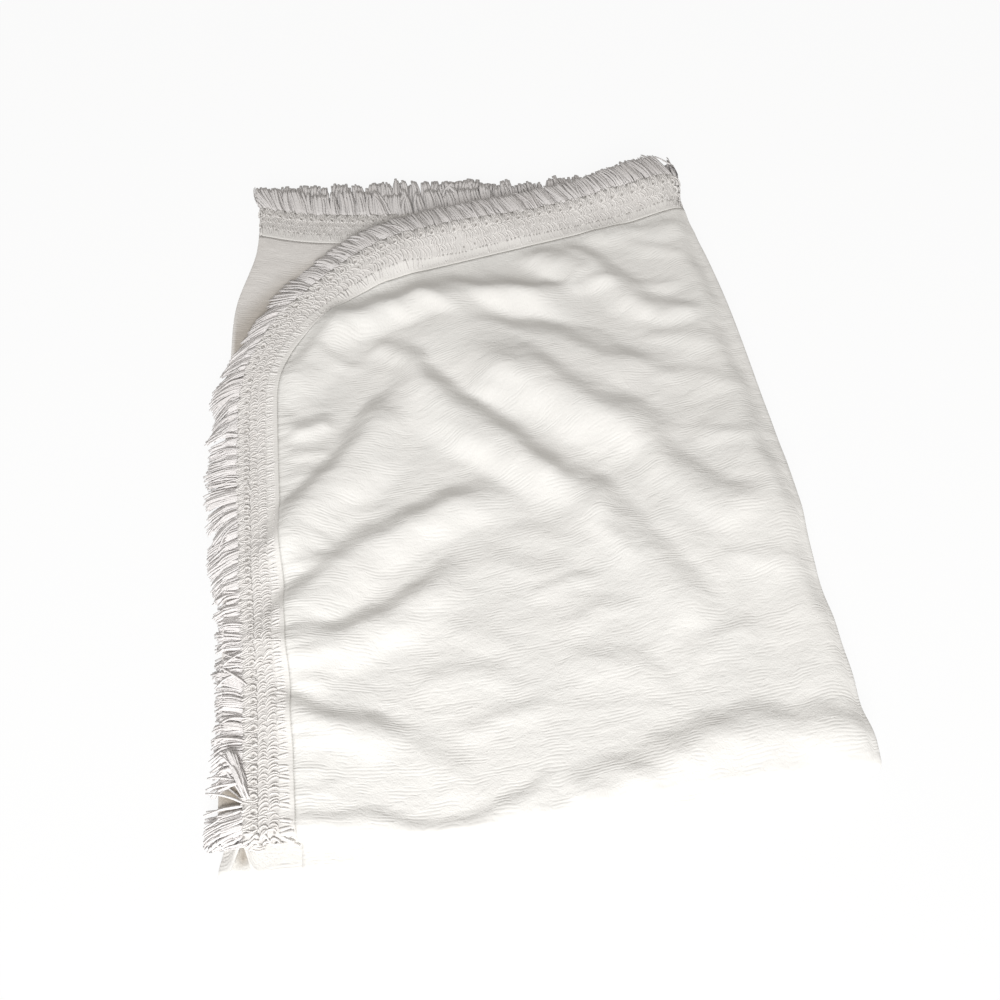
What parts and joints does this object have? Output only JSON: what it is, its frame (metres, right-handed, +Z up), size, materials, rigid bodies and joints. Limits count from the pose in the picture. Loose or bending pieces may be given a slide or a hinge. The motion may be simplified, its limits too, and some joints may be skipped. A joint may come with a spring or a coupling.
{
  "type": "matelasse bedspread",
  "caption": "Ivory matelasse bedspread folded into a flat packet, with puckered woven cloth, a rounded foot corner, a braided heading and a cut fringe.",
  "frame": {"origin": "middle of the packet's footprint, on the surface it lies on", "axes": "+X across the packet to the folded side, +Y from the near cross fold to the trimmed foot edge, +Z up"},
  "size_m": [0.7094, 0.9572, 0.0565],
  "materials": {
    "cloth": "matte woven cotton with a puckered surface",
    "braid": "matte braided cotton",
    "yarn": "matte spun cotton"
  },
  "bodies": {
    "root": {"panel": "cloth", "heading": "braid", "fringe": "yarn"}
  },
  "joints": []
}
